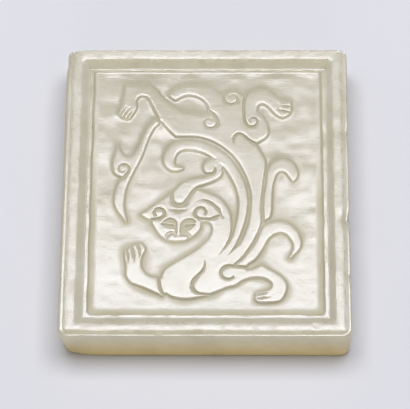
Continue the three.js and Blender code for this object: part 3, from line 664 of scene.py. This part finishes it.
def frame_rings():
    """All rings from the middle of the back out, up the wall and in over the frame to the ground."""
    rings, matt = [], []

    def plain(inset, level):
        points, _, _ = rim([inset] * 4, CORNER_RADIUS)
        rings.append(np.column_stack([points, np.full(len(points), level)]))
        matt.append(np.zeros(len(points)))

    for inset in BACK_INSETS:
        plain(inset, 0.0)
    for inset, level in reversed(BACK_EDGE):
        plain(inset, level)
    for level in reversed(WALL_LEVELS):
        plain(0.0, level)
    foot = (LIP_END + LIP_DROP_WIDTH)[1]
    ridge_edge = RIDGE_START[1] - RIDGE_MARGIN
    for insets, depths, radii, dull in section():
        inset = insets[1]
        points, outward, parts = rim(insets, radii)
        x, y = points[:, 0], points[:, 1]
        loose = eased(np.full(len(x), inset), 0.05, 1.0)
        sway = sum(height * noise(x + change * inset, y, apart, seed) for height, apart, change, seed in SWAY)
        points = points - outward * (np.abs(sway) * (1 - loose) * 0.5 + sway * loose)[:, None]
        bob = sum(height * noise(x, y + change * inset, apart, seed) for height, apart, change, seed in BOB)
        # the frame's unevenness gives way to the ground's at the foot
        settled = eased(np.full(len(x), inset), foot, foot + FILLET_WIDTH)
        uneven = bob * loose * (1 - settled) + ground_hills(points) * settled
        level = np.minimum(CREST - parts @ depths + uneven, CREST)
        rings.append(np.column_stack([points, level]))
        # the ridge is worn dull in blotches
        on_ridge = ridge_edge < inset < RIDGE_START[1] + RIDGE_WIDTH[1] + RIDGE_MARGIN
        blotches = noise(x, y, 1.9, 15) + 0.7 * noise(x, y, 0.9, 16)
        worn = RIDGE_WEAR * eased(blotches, -0.1, 1.1) * on_ridge
        matt.append(parts @ dull * (1 if inset < foot else neglect(y)) + worn)
    # the drop and fillet at the lip's foot carry the yellow tint as far as they are dull, the rest of the
    # frame none
    first_tinted = len(rings) - len(DROP) - len(FILLET)
    dull_tint = [dull * (place >= first_tinted) for place, dull in enumerate(matt)]
    return rings, np.concatenate(matt), np.concatenate(dull_tint)


# Chips and nicks, nearly all along the outer edges: where, how far they reach and how deep they bite
CHIPS = [
    (HALF_WIDTH, -6.9, CREST - 1.1, 1.5, 0.55),
    (-HALF_WIDTH, HALF_LENGTH, CREST - 0.8, 1.3, 0.4),
    (-HALF_WIDTH, 29.3, CREST - 0.6, 2.2, 0.2),
    (HALF_WIDTH, HALF_LENGTH, CREST - 1.0, 1.1, 0.25),
    (-3.2, HALF_LENGTH - 0.2, CREST - 0.9, 0.5, 0.3),
    (HALF_WIDTH, -19.0, CREST - 1.0, 0.9, 0.25),
    (HALF_WIDTH, 12.5, CREST - 1.0, 1.2, 0.25),
    (-23.6, -HALF_LENGTH, CREST - 1.0, 0.6, 0.16),
    (-8.6, -HALF_LENGTH, CREST - 1.0, 0.5, 0.14),
    (1.1, -HALF_LENGTH, CREST - 1.0, 0.5, 0.14),
    (9.2, -HALF_LENGTH, CREST - 1.0, 0.45, 0.12),
    (-HALF_WIDTH + 0.6, HALF_LENGTH - 1.6, CREST, 0.7, 0.25),
    (-HALF_WIDTH, HALF_LENGTH - 3.4, CREST - 0.2, 0.9, 0.3),
    (-HALF_WIDTH + 2.2, HALF_LENGTH, CREST - 0.1, 0.8, 0.3),
    (-HALF_WIDTH, -HALF_LENGTH, 0.5, 3.6, 1.1),
    (HALF_WIDTH, -HALF_LENGTH, 0.2, 1.5, 0.3),
    (21.15, -29.7, CREST, 0.5, 0.22),
]


def chipped(points):
    """Pull the surface in where a chip is missing: towards the middle, and down from the face."""
    grain = 0.35 * noise(points[:, 0] * 3 + points[:, 2], points[:, 1] * 3 - points[:, 2], 1.0, 21)
    for x, y, z, reach, bite in CHIPS:
        gap = points - np.array([x, y, z])
        near = np.exp(-(np.linalg.norm(gap * [1, 1, 0.8], axis=1) / reach) ** 2)
        heading = np.array([
            -np.sign(x) * (abs(x) > HALF_WIDTH - 1),
            -np.sign(y) * (abs(y) > HALF_LENGTH - 1),
            -1.0 * (z > CREST / 2),
        ])
        heading /= np.linalg.norm(heading)
        rough = 1 + grain * (z > CREST / 2)
        points = points + heading * (bite * near * rough)[:, None]
    return points


def spaced_rows(path, offsets, spacing):
    """Points on lines beside a path of across and along, at the given offsets to its left."""
    left = leftward(path)
    gaps = np.linalg.norm(np.diff(path[:, :2], axis=0), axis=1)
    run = np.concatenate([[0], np.cumsum(gaps)])
    stations = np.linspace(0, run[-1], max(2, math.ceil(run[-1] / spacing) + 1))
    centre = np.stack([np.interp(stations, run, path[:, axis]) for axis in (0, 1)], axis=1)
    side = np.stack([np.interp(stations, run, left[:, axis]) for axis in (0, 1)], axis=1)
    return [centre + side * offset for offset in offsets]


def thinned(batches):
    """Points in order, leaving out each that comes too close to one already kept."""
    cell = 0.3
    kept = {}
    result = []
    for batch, gap in batches:
        for x, y in batch:
            i, j = math.floor(x / cell), math.floor(y / cell)
            crowd = (p for a in (-1, 0, 1) for b in (-1, 0, 1) for p in kept.get((i + a, j + b), ()))
            if all((x - px) ** 2 + (y - py) ** 2 > gap * gap for px, py in crowd):
                kept.setdefault((i, j), []).append((x, y))
                result.append((x, y))
    return np.array(result)


# The field's level runs into the frame's over this distance
RIM_BLEND = 1.2

# Rows of points beside each outline, hollow, eyelid and groove: how far to its left
EDGE_ROWS = [0.0, -0.08, 0.08, -0.17, 0.18, -0.27, -0.4, 0.3, -0.65, 0.48, -1.05]
HOLLOW_ROWS = [0, 0.12, -0.12, 0.26, -0.26]
LID_ROWS = [0, 0.12, -0.12, 0.24, -0.24]
# and for a groove as shares of its half-width
WIDE_GROOVE_ROWS = [0, 0.6, -0.6, 1, -1, 1.35, -1.35, 0.3, -0.3]
FINE_GROOVE_ROWS = [0, 0.7, -0.7, 1.3, -1.3]
WIDE_GROOVE = 0.22
EYE_SPACING = 0.2
GROOVE_SPACING = 0.22


def closed(loop):
    return np.vstack([loop, loop[:1]])


def field_points(boundary):
    """Points of the field: rows beside every edge and groove, and an even fill between."""
    batches = []
    rows = [spaced_rows(closed(loop), EDGE_ROWS, ROW_SPACING) for loop in FIGURE.loops]
    hollow_rows = [spaced_rows(closed(loop), HOLLOW_ROWS, EYE_SPACING) for loop in EYE_HOLLOWS]
    lid_rows = [spaced_rows(path, LID_ROWS, EYE_SPACING) for path in LIDS]
    groove_rows = []
    for path in GROOVES:
        half = path[:, 2].mean()
        shares = WIDE_GROOVE_ROWS if half > WIDE_GROOVE else FINE_GROOVE_ROWS
        groove_rows.append(spaced_rows(path, [half * share for share in shares], GROOVE_SPACING))
    for group in (hollow_rows, lid_rows, groove_rows):
        for lines in group:
            batches += [(line, CLOSEST) for line in lines]
    for place in range(len(EDGE_ROWS)):
        batches += [(lines[place], 1.2 * CLOSEST) for lines in rows]
    across, along = boundary.max(axis=0)
    columns = np.arange(-across, across, FILL_SPACING)
    lines = np.arange(-along, along, FILL_SPACING * ROW_HEIGHT)
    fill = [(x + 0.5 * FILL_SPACING * (row % 2), y) for row, y in enumerate(lines) for x in columns]
    batches.append((fill, FILL_CLEARANCE * FILL_SPACING))
    points = thinned(batches)
    starts, ends = boundary, np.roll(boundary, -1, axis=0)
    gap, _ = nearest(points, starts, ends)
    return points[inside(points, boundary) & (gap > BORDER_CLEARANCE)]


def carved_stone():
    """The whole stone as one closed mesh."""
    rings, ring_matt, ring_dull_tint = frame_rings()
    count = len(rings[0])
    border = rings[-1][:, :2]
    free = field_points(border)
    flat = [Vector(p) for p in np.vstack([border, free])]
    edges = [(i, (i + 1) % count) for i in range(count)]
    placed, _, triangles, origins, _, _ = delaunay_2d_cdt(flat, edges, [], 1, 1e-5)
    placed = np.array([tuple(p) for p in placed])
    level, matt = field_surface(placed)
    outer = np.full(len(placed), -1)
    for index, origin in enumerate(origins):
        for old in origin:
            if old < count:
                outer[index] = old
    shown = outer < 0
    # the field's level runs into the last ring's
    rim_level = rings[-1][:, 2]
    gap, value = nearest(placed, border, np.roll(border, -1, axis=0), (rim_level, np.roll(rim_level, -1)))
    blend = eased(gap, 0.0, RIM_BLEND)
    level = value * (1 - blend) + level * blend
    base = len(rings) * count
    number = np.where(shown, base + np.cumsum(shown) - 1, (len(rings) - 1) * count + outer)
    vertices = np.vstack(rings + [np.column_stack([placed, level])[shown]])
    dull_tint = np.concatenate([ring_dull_tint, matt[shown]])
    matt = np.concatenate([ring_matt, matt[shown]])
    faces = [tuple(range(count))[::-1]]
    for ring in range(len(rings) - 1):
        here = ring * count
        for i in range(count):
            j = (i + 1) % count
            faces.append((here + i, here + j, here + count + j, here + count + i))
    faces += [tuple(int(number[i]) for i in triangle) for triangle in triangles]
    vertices = chipped(vertices)
    vertices[:, 2] = np.clip(vertices[:, 2], 0, CREST)
    mesh = bpy.data.meshes.new("carved_jade")
    mesh.from_pydata([tuple(v) for v in vertices * MM], [], faces)
    mesh.shade_smooth()
    for name, values in (("matt", matt), ("dull_tint", dull_tint)):
        layer = mesh.attributes.new(name, "FLOAT", "POINT")
        layer.data.foreach_set("value", values.astype(np.float32))
    piece = bpy.data.objects.new("carved_jade", mesh)
    bpy.context.collection.objects.link(piece)
    return piece


# Material: colours of the stone with shade painted darker and more olive towards its base, its roughness
# where polished and where dull, and its fine grain
CLOUDS = [(0.3, (0.425, 0.392, 0.27)), (0.5, (0.465, 0.433, 0.31)), (0.7, (0.5, 0.472, 0.36))]
# Painted shade at the base: its tint, the height where it is full and the height where it ends
BASE_PAINTED_SHADE = (1.0, 0.79, 0.4, 1)
FULL_BASE_SHADE_HEIGHT = 0.0005
NO_BASE_SHADE_HEIGHT = 0.0085
# A yellow tint that grows with how dull the surface is
DULL_TINT = (0.97, 0.95, 0.87, 1)
POLISHED_ROUGHNESS = 0.17
DULL_ROUGHNESS = 0.75
GRAIN_DEPTH = 0.000018


class Nodes:
    """Short helpers for a material's node tree."""

    def __init__(self, name):
        self.material = bpy.data.materials.new(name)
        self.material.use_nodes = True
        self.tree = self.material.node_tree
        self.shader = self.tree.nodes["Principled BSDF"]

    def add(self, kind, **inputs):
        node = self.tree.nodes.new(kind)
        for name, value in inputs.items():
            self.put(node, name.replace("_", " "), value)
        return node

    def put(self, node, name, value):
        socket = node.inputs[name]
        if isinstance(value, bpy.types.NodeSocket):
            self.tree.links.new(value, socket)
        else:
            socket.default_value = value

    def ramp(self, factor, stops):
        node = self.add("ShaderNodeValToRGB", Fac=factor)
        elements = node.color_ramp.elements
        while len(elements) < len(stops):
            elements.new(0.5)
        for element, (position, colour) in zip(elements, stops):
            element.position = position
            element.color = (*colour, 1)
        return node.outputs["Color"]

    def multiply(self, colour, tint, factor):
        node = self.add("ShaderNodeMix")
        node.data_type = "RGBA"
        node.blend_type = "MULTIPLY"
        self.put(node, "Factor", factor)
        inputs = {socket.identifier: socket for socket in node.inputs}
        self.tree.links.new(colour, inputs["A_Color"])
        inputs["B_Color"].default_value = tint
        return {socket.identifier: socket for socket in node.outputs}["Result_Color"]


def jade_material():
    nodes = Nodes("jade")
    place = nodes.add("ShaderNodeTexCoord").outputs["Object"]
    cloud = nodes.add("ShaderNodeTexNoise", Vector=place, Scale=170.0, Detail=5.0, Roughness=0.6)
    colour = nodes.ramp(cloud.outputs["Fac"], CLOUDS)
    # painted shade: the stone is darker and more olive towards the base, painted in for the dark contact at
    # its foot and the light coming through the stone there
    height = nodes.add("ShaderNodeSeparateXYZ", Vector=place)
    depth = nodes.add("ShaderNodeMapRange", Value=height.outputs["Z"])
    nodes.put(depth, "From Min", NO_BASE_SHADE_HEIGHT)
    nodes.put(depth, "From Max", FULL_BASE_SHADE_HEIGHT)
    colour = nodes.multiply(colour, BASE_PAINTED_SHADE, depth.outputs["Result"])
    # a little yellow where the surface is dull: at the foot of the walls and of the lip, in the grooves and
    # eye hollows, and faintly over the ground, more in its dull patches
    dull_tint = nodes.add("ShaderNodeAttribute")
    dull_tint.attribute_name = "dull_tint"
    colour = nodes.multiply(colour, DULL_TINT, dull_tint.outputs["Fac"])
    nodes.put(nodes.shader, "Base Color", colour)
    layer = nodes.add("ShaderNodeAttribute")
    layer.attribute_name = "matt"
    gloss = nodes.add("ShaderNodeMapRange", Value=layer.outputs["Fac"])
    nodes.put(gloss, "To Min", POLISHED_ROUGHNESS)
    nodes.put(gloss, "To Max", DULL_ROUGHNESS)
    nodes.put(nodes.shader, "Roughness", gloss.outputs["Result"])
    # the fine grain that polishing left, running across
    stretched = nodes.add("ShaderNodeMapping", Vector=place, Scale=(0.3, 1.0, 1.0))
    grain = nodes.add("ShaderNodeTexNoise", Vector=stretched.outputs["Vector"], Scale=2800.0, Detail=3.0)
    bump = nodes.add("ShaderNodeBump", Height=grain.outputs["Fac"], Distance=GRAIN_DEPTH)
    nodes.put(nodes.shader, "Normal", bump.outputs["Normal"])
    nodes.put(nodes.shader, "IOR", 1.62)
    nodes.put(nodes.shader, "Specular IOR Level", 0.75)
    nodes.put(nodes.shader, "Subsurface Weight", 0.35)
    nodes.put(nodes.shader, "Subsurface Scale", 0.0012)
    nodes.put(nodes.shader, "Subsurface Radius", (1.0, 0.85, 0.55))
    return nodes.material


def floor_material():
    nodes = Nodes("pale_floor")
    nodes.put(nodes.shader, "Base Color", (0.62, 0.62, 0.61, 1))
    nodes.put(nodes.shader, "Roughness", 0.8)
    return nodes.material


# Surroundings
FLOOR_REACH = 3.0
WARM_WHITE = (1.0, 0.98, 0.95)


def pale_floor():
    mesh = bpy.data.meshes.new("floor")
    corners = [(x * FLOOR_REACH, y * FLOOR_REACH, 0) for x, y in ((-1, -1), (1, -1), (1, 1), (-1, 1))]
    mesh.from_pydata(corners, [], [(0, 1, 2, 3)])
    floor = bpy.data.objects.new("floor", mesh)
    bpy.context.collection.objects.link(floor)
    floor.data.materials.append(floor_material())


def softbox(name, place, target, size, radiance, tint):
    """A rectangular light that shines evenly, aimed at a target."""
    light = bpy.data.lights.new(name, "AREA")
    light.shape = "RECTANGLE"
    light.size, light.size_y = size
    light.energy = radiance * math.pi * size[0] * size[1]
    light.color = tint
    lamp = bpy.data.objects.new(name, light)
    bpy.context.collection.objects.link(lamp)
    lamp.location = place
    lamp.rotation_euler = (Vector(target) - Vector(place)).to_track_quat("-Z", "Y").to_euler()


def studio():
    softbox(
        "overhead", place=(0.035, 0.177, 0.8), target=(0.035, 0.177, 0),
        size=(0.79, 0.48), radiance=6.95, tint=(0.89, 0.895, 1.0),
    )
    softbox(
        "front_fill", place=(0.0, -1.5, 0.18), target=(0, 0, 0),
        size=(1.3, 0.26), radiance=11.2, tint=WARM_WHITE,
    )
    softbox(
        "left_fill", place=(-1.3, 0.1, 0.6), target=(0, 0, 0),
        size=(0.7, 0.7), radiance=0.5, tint=WARM_WHITE,
    )
    world = bpy.data.worlds.new("studio")
    bpy.context.scene.world = world
    world.use_nodes = True
    background = world.node_tree.nodes["Background"]
    background.inputs["Color"].default_value = (0.9, 0.92, 0.95, 1)
    background.inputs["Strength"].default_value = 0.25


# Camera: where the photograph was taken from
CAMERA_ELEVATION = 62.578
CAMERA_AZIMUTH = -2.056
CAMERA_ROLL = -1.799
CAMERA_DISTANCE = 491.36
CAMERA_TARGET = Vector((-0.209, -1.19, CREST / 2))
FOCAL_LENGTH = 219.5


def photo_camera():
    elevation, azimuth, roll = (math.radians(a) for a in (CAMERA_ELEVATION, CAMERA_AZIMUTH, CAMERA_ROLL))
    forward = Vector((
        math.sin(azimuth) * math.cos(elevation),
        math.cos(azimuth) * math.cos(elevation),
        -math.sin(elevation),
    ))
    level = Vector((math.cos(azimuth), -math.sin(azimuth), 0))
    upright = level.cross(forward)
    right = math.cos(roll) * level + math.sin(roll) * upright
    up = math.cos(roll) * upright - math.sin(roll) * level
    data = bpy.data.cameras.new("photo_camera")
    data.lens = FOCAL_LENGTH
    data.clip_start = 0.01
    camera = bpy.data.objects.new("photo_camera", data)
    bpy.context.collection.objects.link(camera)
    axes = Matrix((right, up, -forward)).transposed().to_4x4()
    camera.matrix_world = Matrix.Translation((CAMERA_TARGET - forward * CAMERA_DISTANCE) * MM) @ axes
    bpy.context.scene.camera = camera


photo_camera()
studio()
pale_floor()
stone = carved_stone()
stone.data.materials.append(jade_material())
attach(stone, "root")
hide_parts("jade_plaque")
bpy.context.scene.view_settings.view_transform = "Standard"
